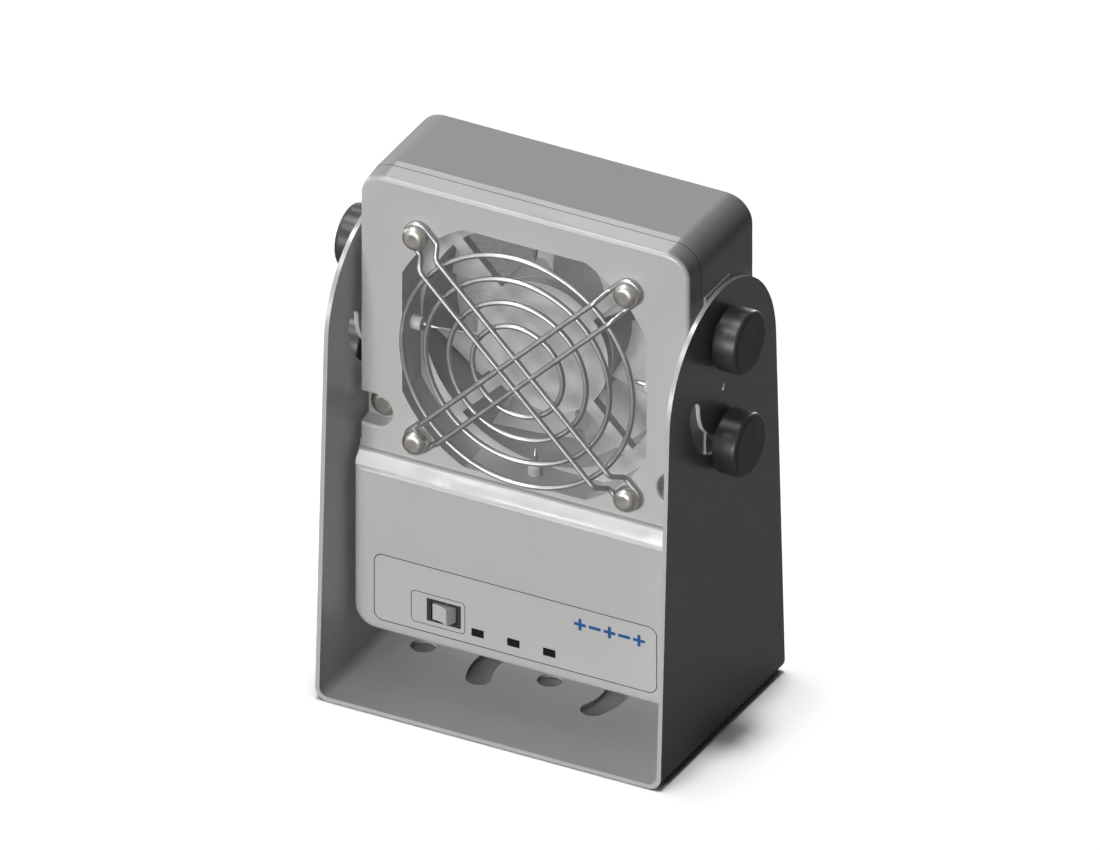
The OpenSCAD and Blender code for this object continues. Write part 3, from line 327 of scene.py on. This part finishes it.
# %% Finishes of the CAD pieces
COAT = satin_coat("satin_coat")
FILM = panel_film()
FAN = fan_plastic()
KNOB = knob_plastic()
BLACK = black_plastic()
ROCKER = rocker_plastic()
HOLDER = holder_plastic()
WINDOW = smoked_window()
WIRE = drawn_wire()
STEEL = plated_steel()
BRASS = warm_metal("turned_brass", (0.52, 0.36, 0.13), (0.62, 0.44, 0.17), 0.3)
BRONZE = warm_metal("sintered_bronze", (0.40, 0.28, 0.13), (0.50, 0.36, 0.18), 0.5)
COPPER = warm_metal("copper_wire", (0.45, 0.17, 0.06), (0.60, 0.25, 0.10), 0.35)
IRON = dark_iron("core_steel", (0.14, 0.14, 0.15), (0.22, 0.22, 0.23))
FERRITE = dark_iron("ferrite", (0.03, 0.03, 0.033), (0.05, 0.05, 0.055))
MASK = solder_mask()
LED = clear_green()

node_finish = {
    "bracket": COAT, "front_cover": COAT, "rear_housing": COAT, "switch_bezel": FILM,
    "operating_panel": FILM, "intake_grille": FAN, "fan_frame": FAN, "fan_rotor": FAN,
    "guard_arms": WIRE, "guard_rings": WIRE, "guard_screws": STEEL, "cover_screws": STEEL,
    "board_screws": STEEL, "rotor_shaft": STEEL, "emitter_needles": STEEL, "switch_terminals": STEEL,
    "emitter_holders": HOLDER, "high_voltage_module": BLACK, "board_components": BLACK,
    "switch_body": BLACK, "power_inlet": BLACK, "knob_washers": BLACK, "switch_rocker": ROCKER,
    "status_windows": WINDOW, "status_leds": LED, "control_board": MASK, "fan_board": MASK,
    "fan_bearings": BRONZE, "stator_coils": COPPER, "fan_stator": IRON, "rotor_yoke": IRON,
    "rotor_magnet": FERRITE, "threaded_inserts": BRASS,
}
for side in ("left", "right"):
    for place in ("top", "bottom"):
        node_finish[f"knob_{side}_{place}"] = KNOB
        node_finish[f"stud_{side}_{place}"] = STEEL

for name, finish in node_finish.items():
    for material_slot in frame["nodes"][name].material_slots:
        material_slot.material = finish
print("nodes without a finish:", [n for n in frame["nodes"] if n not in node_finish])


# %% [markdown]
# ## Helpers for added pieces
# An added piece is built with bmesh, turned into an object at the origin, told which body carries it and
# which material slot it stands for.

# %% Helpers for pieces
def finish_piece(mesh_builder, name, body, material, smooth=True):
    """Turns a bmesh into a piece that rides on a body."""
    mesh = bpy.data.meshes.new(name)
    mesh_builder.to_mesh(mesh)
    mesh_builder.free()
    for polygon in mesh.polygons:
        polygon.use_smooth = smooth
    piece = bpy.data.objects.new(name, mesh)
    bpy.context.scene.collection.objects.link(piece)
    piece.data.materials.append(material)
    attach(piece, body)
    print(name, "faces:", len(mesh.polygons))
    return piece


# %% [markdown]
# ## The finger guard's round wires
# CAD draws each guard arm as a wire with twelve flat sides. Here the same closed path is swept again as a
# round wire with fine bends. An arm runs straight in front of the rings, slants down to the cover, loops
# round a fan screw and comes back 5.4 mm beside itself.

# %% Guard arms
WIRE_R = 0.6 * MM
PAIR_HALF = 2.7 * MM
SCREW_SIDE = 25
SCREW_FAR = math.hypot(SCREW_SIDE, SCREW_SIDE) * MM
FOOT_IN = 3.86 * MM
SLANT_LEN = 2.2 * MM
BEND_R = 1.6 * MM
Y_ARM = arms_low.y + WIRE_R
Y_LOOP = arms_high.y - WIRE_R
BEND_STEPS = 8
LOOP_STEPS = 24
WIRE_SIDES = 20
SAME_POINT = 0.01 * MM
ARM_TURNS = (math.radians(45), math.radians(-45))


def bend_points(before, corner, after, radius, steps):
    """Points of the arc that rounds a corner of a flat path."""
    back = (before - corner).normalized()
    ahead = (after - corner).normalized()
    half = back.angle(ahead) / 2
    centre = corner + (back + ahead).normalized() * radius / math.sin(half)
    start = corner + back * radius / math.tan(half)
    end = corner + ahead * radius / math.tan(half)
    points = []
    for step in range(steps + 1):
        mixed = (start - centre).lerp(end - centre, step / steps)
        points.append(centre + mixed.normalized() * radius)
    return points


def arm_end_path():
    """One end of an arm in its own plane: x runs out along the arm, y is the depth."""
    foot = SCREW_FAR - FOOT_IN
    corners = [Vector((0, Y_ARM)), Vector((foot - SLANT_LEN, Y_ARM)), Vector((foot, Y_LOOP)),
               Vector((SCREW_FAR, Y_LOOP))]
    path = []
    for i in (1, 2):
        path += bend_points(corners[i - 1], corners[i], corners[i + 1], BEND_R, BEND_STEPS)
    return path


def arm_middle_line():
    """The whole closed loop: out, round one screw, back, and round the other."""
    end = arm_end_path()
    line = [Vector((p.x, p.y, PAIR_HALF)) for p in end]
    for step in range(LOOP_STEPS + 1):
        turn = math.pi / 2 - math.pi * step / LOOP_STEPS
        line.append(Vector((SCREW_FAR + PAIR_HALF * math.cos(turn), Y_LOOP, PAIR_HALF * math.sin(turn))))
    line += [Vector((p.x, p.y, -PAIR_HALF)) for p in reversed(end)]
    return line + [Vector((-p.x, p.y, -p.z)) for p in line]


def sweep_closed(builder, line, radius, sides, place):
    """Sweeps a circle along a closed line of points."""
    rings = []
    count = len(line)
    for i, point in enumerate(line):
        along = (line[(i + 1) % count] - line[i - 1]).normalized()
        across = along.cross(Vector((0, 1, 0))).normalized()
        out = across.cross(along)
        ring = []
        for k in range(sides):
            turn = 2 * math.pi * k / sides
            offset = radius * (math.cos(turn) * across + math.sin(turn) * out)
            ring.append(builder.verts.new(place @ (point + offset)))
        rings.append(ring)
    for i in range(count):
        near, far = rings[i], rings[(i + 1) % count]
        for k in range(sides):
            builder.faces.new((near[k], near[(k + 1) % sides], far[(k + 1) % sides], far[k]))


clean_line = []
for point in arm_middle_line():
    if not clean_line or (point - clean_line[-1]).length > SAME_POINT:
        clean_line.append(point)
guard = bmesh.new()
for turn in ARM_TURNS:
    place = Matrix.Translation((0, 0, FAN_CENTRE.z)) @ Matrix.Rotation(turn, 4, "Y")
    sweep_closed(guard, clean_line, WIRE_R, WIRE_SIDES, place)
bmesh.ops.recalc_face_normals(guard, faces=guard.faces)
guard_piece = finish_piece(guard, "round_guard_arms", "blower", WIRE)
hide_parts("guard_arms")

# %% [markdown]
# ### Weld spots
# The rings are resistance-welded to the arms: where two wires cross, a little metal has squeezed out
# between them. Each spot is a small flattened ball between the two middle lines. The two arms are welded to
# each other as well, at the four places where their wires cross in front of the hub.

# %% Weld spots
INNER_RING = 10.7
OUTER_RING = 27.395
RING_COUNT = 4
RING_STEP = (OUTER_RING - INNER_RING) / (RING_COUNT - 1)
RING_RADII = [INNER_RING * MM + i * RING_STEP * MM for i in range(RING_COUNT)]
RING_WELD = (0.62 * MM, 0.42 * MM, 0.62 * MM)
ARM_WELD = (0.74 * MM, 0.5 * MM, 0.74 * MM)
Y_RING = (rings_low.y + rings_high.y) / 2


def add_weld(builder, centre, size):
    """A small ball, squashed to the three given half sizes."""
    made = bmesh.ops.create_uvsphere(builder, u_segments=12, v_segments=8, radius=1.0)
    bmesh.ops.scale(builder, vec=size, verts=made["verts"])
    bmesh.ops.translate(builder, vec=centre, verts=made["verts"])


welds = bmesh.new()
between_wires = Vector((0, (Y_ARM + Y_RING) / 2, FAN_CENTRE.z))
for turn in ARM_TURNS:
    place = Matrix.Rotation(turn, 4, "Y")
    for radius in RING_RADII:
        reach = math.sqrt(radius ** 2 - PAIR_HALF ** 2)
        for x in (reach, -reach):
            for z in (PAIR_HALF, -PAIR_HALF):
                add_weld(welds, place @ Vector((x, 0, z)) + between_wires, RING_WELD)
place = Matrix.Rotation(ARM_TURNS[0], 4, "Y")
for x in (PAIR_HALF, -PAIR_HALF):
    for z in (PAIR_HALF, -PAIR_HALF):
        add_weld(welds, place @ Vector((x, 0, z)) + Vector((0, Y_ARM, FAN_CENTRE.z)), ARM_WELD)
finish_piece(welds, "guard_welds", "blower", WIRE)

# %% [markdown]
# ## The intake filter
# Air comes in through the grille at the back. A thin round pad of pressed fibre lies against the inside of
# the grille and keeps dust off the needles. It is a flat disc with a soft rim, so a short cylinder with its
# two edges rounded is enough. The fibres themselves are far too fine to model and are left to the finish.

# %% Intake filter
def pressed_fibre():
    """Pale grey felt-like fibre: dull, mottled, and rough to the touch."""
    fibre = new_finish("pressed_fibre", (0.5, 0.5, 0.49), 0.95, specular=0.1)
    cloud_colour(fibre, (0.43, 0.43, 0.42), (0.56, 0.56, 0.55), 1300)
    fine_bump(fibre, 1900, 0.00012, 0.7)
    return fibre


grille_low, grille_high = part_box("intake_grille")
PAD_T = 1.2 * MM
PAD_ROOM = 0.6 * MM
PAD_R = (grille_high.x - grille_low.x) / 2 - PAD_ROOM
PAD_RIM = 0.4 * MM
PAD_GAP = 0.1 * MM
pad_y = grille_low.y - PAD_GAP - PAD_T / 2
pad_place = Matrix.Translation((0, pad_y, FAN_CENTRE.z)) @ Matrix.Rotation(math.pi / 2, 4, "X")
pad = bmesh.new()
bmesh.ops.create_cone(pad, cap_ends=True, segments=96, radius1=PAD_R, radius2=PAD_R, depth=PAD_T,
                      matrix=pad_place)
rim_edges = [edge for edge in pad.edges if any(len(face.verts) > 4 for face in edge.link_faces)]
bmesh.ops.bevel(pad, geom=rim_edges, offset=PAD_RIM, segments=3, profile=0.5, affect="EDGES", material=-1)
bmesh.ops.recalc_face_normals(pad, faces=pad.faces)
finish_piece(pad, "intake_filter", "blower", pressed_fibre())
print("filter pad radius in mm:", round(PAD_R / MM, 2), "at y in mm:", round(pad_y / MM, 2))

# %% [markdown]
# ## Seam lines
# Where two pieces meet, light does not reach into the joint and it shows as a thin dark line. The joints in
# the CAD are a twentieth of a millimetre wide, so each gets a fine dark line of painted shade laid over it:
# round the inlaid panel, round the switch plate, and along the parting line between cover and rear housing.

# %% Seam lines
def seam_shadow():
    """Matt dark grey laid over a narrow joint: the painted shade inside it."""
    shadow = new_finish("seam_shadow", (0.03, 0.03, 0.03), 0.9, specular=0.1)
    cloud_colour(shadow, (0.025, 0.025, 0.025), (0.04, 0.04, 0.04), 200)
    return shadow


def rounded_loop(x_half, z_half, radius, steps=8):
    """Points round a rectangle with round corners, seen from the front."""
    loop = []
    for cx, cz, start in ((1, 1, 0), (-1, 1, 90), (-1, -1, 180), (1, -1, 270)):
        for step in range(steps + 1):
            turn = math.radians(start + 90 * step / steps)
            loop.append(Vector((cx * (x_half - radius) + radius * math.cos(turn), 0,
                                cz * (z_half - radius) + radius * math.sin(turn))))
    return loop


def add_face_seam(builder, low, high, radius, width):
    """A flat ring on the panel's face, round a box with rounded corners."""
    centre = Vector(((low.x + high.x) / 2, PANEL_FACE, (low.z + high.z) / 2))
    x_half, z_half = (high.x - low.x) / 2, (high.z - low.z) / 2
    outer = rounded_loop(x_half + width / 2, z_half + width / 2, radius + width / 2)
    inner = rounded_loop(x_half - width / 2, z_half - width / 2, radius - width / 2)
    lift = Vector((0, -FACE_SEAM_PROUD, 0))
    outside = [builder.verts.new(centre + point + lift) for point in outer]
    inside = [builder.verts.new(centre + point + lift) for point in inner]
    count = len(outside)
    for i in range(count):
        j = (i + 1) % count
        builder.faces.new((outside[i], inside[i], inside[j], outside[j]))


SEAM = seam_shadow()
FACE_SEAM_PROUD = 0.01 * MM
PANEL_CORNER_R, PANEL_SEAM_W = 2 * MM, 0.2 * MM
PLATE_CORNER_R, PLATE_SEAM_W = 1 * MM, 0.16 * MM
seams = bmesh.new()
add_face_seam(seams, panel_low, panel_high, PANEL_CORNER_R, PANEL_SEAM_W)
add_face_seam(seams, bezel_low, bezel_high, PLATE_CORNER_R, PLATE_SEAM_W)
bmesh.ops.recalc_face_normals(seams, faces=seams.faces)
finish_piece(seams, "panel_seams", "blower", SEAM, smooth=False)


# %% [markdown]
# The sides of the cover and of the housing's lip lean inwards by five degrees towards the front, from just
# behind the parting line. There the outline is a little smaller than the housing's own.

# %% Parting line
PARTING_Y = -6.65 * MM
DRAFT_Y = -4.8 * MM
CORNER_R = 6 * MM
SEAM_HALF = 0.09 * MM
SEAM_PROUD = 0.012 * MM
DRAFT = math.radians(5)
COVER_HALF_X = 39.5 * MM
housing_low, housing_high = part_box("rear_housing")
cover_half_z = (housing_high.z - housing_low.z) / 2
leaned_in = (DRAFT_Y - PARTING_Y) * math.tan(DRAFT)
rim = rounded_loop(COVER_HALF_X - leaned_in + SEAM_PROUD, cover_half_z - leaned_in + SEAM_PROUD,
                   CORNER_R - leaned_in, 12)
rim_centre = Vector((0, PARTING_Y, (housing_low.z + housing_high.z) / 2))
# The dark band along the parting line is painted shade in the joint, like the seams above.
parting = bmesh.new()
near_edge = [parting.verts.new(rim_centre + point - Vector((0, SEAM_HALF, 0))) for point in rim]
far_edge = [parting.verts.new(rim_centre + point + Vector((0, SEAM_HALF, 0))) for point in rim]
for i in range(len(rim)):
    j = (i + 1) % len(rim)
    parting.faces.new((near_edge[i], near_edge[j], far_edge[j], far_edge[i]))
bmesh.ops.recalc_face_normals(parting, faces=parting.faces)
finish_piece(parting, "parting_seam", "blower", SEAM, smooth=False)

# %% [markdown]
# ## Marks on the operating panel
# An ioniser sends out charges of both signs. A row of plain plus and minus signs, printed in blue, says so
# at the right end of the panel. The ink is a very thin raised layer with the gloss of a screen print.

# %% Polarity marks
def blue_ink():
    """Screen-printed blue."""
    ink = new_finish("blue_ink", (0.008, 0.085, 0.28), 0.35, specular=0.4)
    cloud_colour(ink, (0.007, 0.078, 0.26), (0.009, 0.092, 0.30), 500)
    return ink


def add_bar(builder, x, z, width, height):
    """One stroke of a printed sign: a very thin block, with its back just inside the panel's face."""
    made = bmesh.ops.create_cube(builder, size=1.0)
    bmesh.ops.scale(builder, vec=(width, INK_T, height), verts=made["verts"])
    bmesh.ops.translate(builder, vec=(x, PANEL_FACE - INK_LIFT, z), verts=made["verts"])


INK_T = 0.03 * MM
INK_LIFT = 0.01 * MM
SIGN = 2.8 * MM
STROKE = 0.72 * MM
SIGN_COUNT = 5
FIRST_X, STEP_X = 15.3, 3.5
MARK_Z = 27.1 * MM
marks = bmesh.new()
for i in range(SIGN_COUNT):
    x = (FIRST_X + STEP_X * i) * MM
    add_bar(marks, x, MARK_Z, SIGN, STROKE)
    if i % 2 == 0:
        arm = (SIGN - STROKE) / 2
        add_bar(marks, x, MARK_Z + (STROKE + arm) / 2, STROKE, arm)
        add_bar(marks, x, MARK_Z - (STROKE + arm) / 2, STROKE, arm)
finish_piece(marks, "polarity_marks", "blower", blue_ink(), smooth=False)

# %% [markdown]
# ## The studio
# A pale floor and a white surround, as for a catalogue picture. Both are white to the camera. In shiny
# parts the surround shows bright and the floor grey. The floor keeps the blower's shadow: part of its white
# comes from lamps, which the blower blocks, and part is its own glow, which carries a painted shade right
# beside the steel. Floor and surround throw little light on the blower, so that its far side stays dark
# against its bright front.

# %% Floor and surround
def grey(value):
    """A grey as the four numbers of a colour socket."""
    return (value, value, value, 1)


def white_only_when_seen(tree, seen, mirrored, unseen):
    """A grey for camera and transmission rays, one for glossy rays and one for all others."""
    nodes, links = tree.nodes, tree.links
    path = nodes.new("ShaderNodeLightPath")
    direct = nodes.new("ShaderNodeMath")
    direct.operation = "MAXIMUM"
    links.new(path.outputs["Is Camera Ray"], direct.inputs[0])
    links.new(path.outputs["Is Transmission Ray"], direct.inputs[1])
    gloss = nodes.new("ShaderNodeMix")
    gloss.data_type = "RGBA"
    gloss.inputs["A"].default_value = grey(unseen)
    gloss.inputs["B"].default_value = grey(mirrored)
    links.new(path.outputs["Is Glossy Ray"], gloss.inputs["Factor"])
    white = nodes.new("ShaderNodeMix")
    white.data_type = "RGBA"
    links.new(direct.outputs[0], white.inputs["Factor"])
    links.new(gloss.outputs["Result"], white.inputs["A"])
    white.inputs["B"].default_value = grey(seen)
    return white, gloss


# Painted shade on the floor: how far it reaches from the blower, in metres, and the nearness values at which
# it is full and at which it is gone.
PAINTED_SHADE_REACH = 0.026
PAINTED_SHADE_FULL, PAINTED_SHADE_NONE = 0.4, 0.97
OWN_WHITE = 0.4


def studio_floor_finish():
    """Pale floor: part of its white is its own, part comes from lamps; beside the blower the lamps' part is
    shadowed and its own part carries a painted shade.
    """
    material = bpy.data.materials.new("studio_floor")
    material.use_nodes = True
    nodes, links = material.node_tree.nodes, material.node_tree.links
    shader = nodes["Principled BSDF"]
    shader.inputs["Roughness"].default_value = 1.0
    shader.inputs["Specular IOR Level"].default_value = 0.0
    colour, _ = white_only_when_seen(material.node_tree, seen=0.8, mirrored=0.1, unseen=0.045)
    links.new(colour.outputs["Result"], shader.inputs["Base Color"])
    # Painted shade: the floor's own white is darkened where the blower is near, read from ambient occlusion.
    near = nodes.new("ShaderNodeAmbientOcclusion")
    near.samples = 16
    near.inputs["Distance"].default_value = PAINTED_SHADE_REACH
    ramp = nodes.new("ShaderNodeValToRGB")
    ramp.color_ramp.elements[0].position = PAINTED_SHADE_FULL
    ramp.color_ramp.elements[0].color = grey(0.0)
    ramp.color_ramp.elements[1].position = PAINTED_SHADE_NONE
    ramp.color_ramp.elements[1].color = grey(OWN_WHITE)
    links.new(near.outputs["AO"], ramp.inputs["Fac"])
    own, _ = white_only_when_seen(material.node_tree, seen=1.0, mirrored=0.5, unseen=0.0)
    both = nodes.new("ShaderNodeMix")
    both.data_type = "RGBA"
    both.blend_type = "MULTIPLY"
    both.inputs["Factor"].default_value = 1.0
    links.new(ramp.outputs["Color"], both.inputs["A"])
    links.new(own.outputs["Result"], both.inputs["B"])
    links.new(both.outputs["Result"], shader.inputs["Emission Color"])
    shader.inputs["Emission Strength"].default_value = 1.0
    return material


FLOOR_HALF = 6
FLOOR_DROP = 0.2 * MM
floor_mesh = bmesh.new()
bmesh.ops.create_grid(floor_mesh, x_segments=1, y_segments=1, size=FLOOR_HALF)
bmesh.ops.translate(floor_mesh, verts=floor_mesh.verts, vec=(0, 0, -FLOOR_DROP))
floor_data = bpy.data.meshes.new("studio_floor")
floor_mesh.to_mesh(floor_data)
floor_mesh.free()
floor = bpy.data.objects.new("studio_floor", floor_data)
bpy.context.scene.collection.objects.link(floor)
floor.data.materials.append(studio_floor_finish())
floor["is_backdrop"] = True

world = bpy.data.worlds.new("white_surround")
bpy.context.scene.world = world
world.use_nodes = True
world_nodes, world_links = world.node_tree.nodes, world.node_tree.links
world_colour, world_gloss = white_only_when_seen(world.node_tree, seen=1.0, mirrored=1.0, unseen=0.1)
world_links.new(world_colour.outputs["Result"], world_nodes["Background"].inputs["Color"])

# %% [markdown]
# The surround's own light is uneven: it is brighter on the left and darker on the right, as in a room with
# one large window. Two gradients along X set it, one for the light that falls on things and one for what is
# mirrored in them. Each is a level at the left, a level at the right, where the right one is reached, and the
# socket that it feeds.

# %% Uneven surround
direction = world_nodes.new("ShaderNodeTexCoord")
split = world_nodes.new("ShaderNodeSeparateXYZ")
world_links.new(direction.outputs["Generated"], split.inputs["Vector"])
LEFT_END = -0.6
FALLING_LIGHT = (0.12, 0.01, 0.25, "A")
MIRRORED_LIGHT = (1.0, 0.45, 0.6, "B")
for at_left, at_right, right_end, socket in (FALLING_LIGHT, MIRRORED_LIGHT):
    fade = world_nodes.new("ShaderNodeMapRange")
    fade.inputs["From Min"].default_value = LEFT_END
    fade.inputs["From Max"].default_value = right_end
    fade.inputs["To Min"].default_value = at_left
    fade.inputs["To Max"].default_value = at_right
    world_links.new(split.outputs["X"], fade.inputs["Value"])
    world_links.new(fade.outputs["Result"], world_gloss.inputs[socket])

# %% [markdown]
# ## Lamps
# Every lamp is a sun. The key stands in front, a little to the left and hardly higher than the blower, with a
# shadowless fill in the same direction; together they light the front faces. A shadowless top lamp from
# above and left lights the faces that look up. Two weaker ones light the back and the left side, where the
# others do not reach. Three glints only make highlights: on the step, on the rounded top edge of the cover
# and on its lip. The last lamp shines straight down and lights the floor alone. No lamp stands on the right,
# so the right side stays dark. A lamp's numbers are its direction, its strength and how wide it looks, in
# degrees.

# %% Lamps
def add_sun(name, towards, strength, angle, shadows=True, only=None, never=None, glint=False):
    """A lamp infinitely far away; towards points from the blower to it. A glint only makes highlights."""
    data = bpy.data.lights.new(name, "SUN")
    data.energy = strength
    data.angle = math.radians(angle)
    data.use_shadow = shadows
    lamp = bpy.data.objects.new(name, data)
    lamp.rotation_euler = (-Vector(towards)).to_track_quat("-Z", "Y").to_euler()
    bpy.context.scene.collection.objects.link(lamp)
    lamp.visible_diffuse = not glint
    if only or never:
        chosen = bpy.data.collections.new(name + "_chosen")
        chosen.objects.link(only or never)
        if never:
            chosen.collection_objects[0].light_linking.link_state = "EXCLUDE"
        lamp.light_linking.receiver_collection = chosen
    return lamp


FRONT = (-0.20, -0.97, 0.09)
add_sun("key_light", FRONT, 2.15, 22)
add_sun("fill_light", FRONT, 0.98, 22, shadows=False, never=floor)
add_sun("top_light", (-0.40, -0.067, 0.914), 0.6, 7, shadows=False, never=floor)
add_sun("step_glint", (-0.40, -0.067, 0.914), 0.8, 9, never=floor, glint=True)
add_sun("edge_glint", (-0.40, -0.515, 0.758), 0.9, 12, never=floor, glint=True)
add_sun("lip_glint", (-0.40, 0.585, 0.705), 0.42, 9, never=floor, glint=True)
add_sun("back_light", (-0.19, 0.98, 0.03), 1.3, 20)
add_sun("left_light", (-0.95, 0.25, 0.12), 0.8, 20)
add_sun("floor_light", (0.0, 0.0, 1.0), 2.2, 7, only=floor)
print("studio ready")

# %% [markdown]
# ## The end
# The size of the dressed blower, added pieces included, is printed.

# %% Print the size of the dressed blower
seen_low, seen_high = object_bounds()
seen_size = [round((b - a) / MM, 1) for a, b in zip(seen_low, seen_high)]
print("overall size with the added pieces:", seen_size)
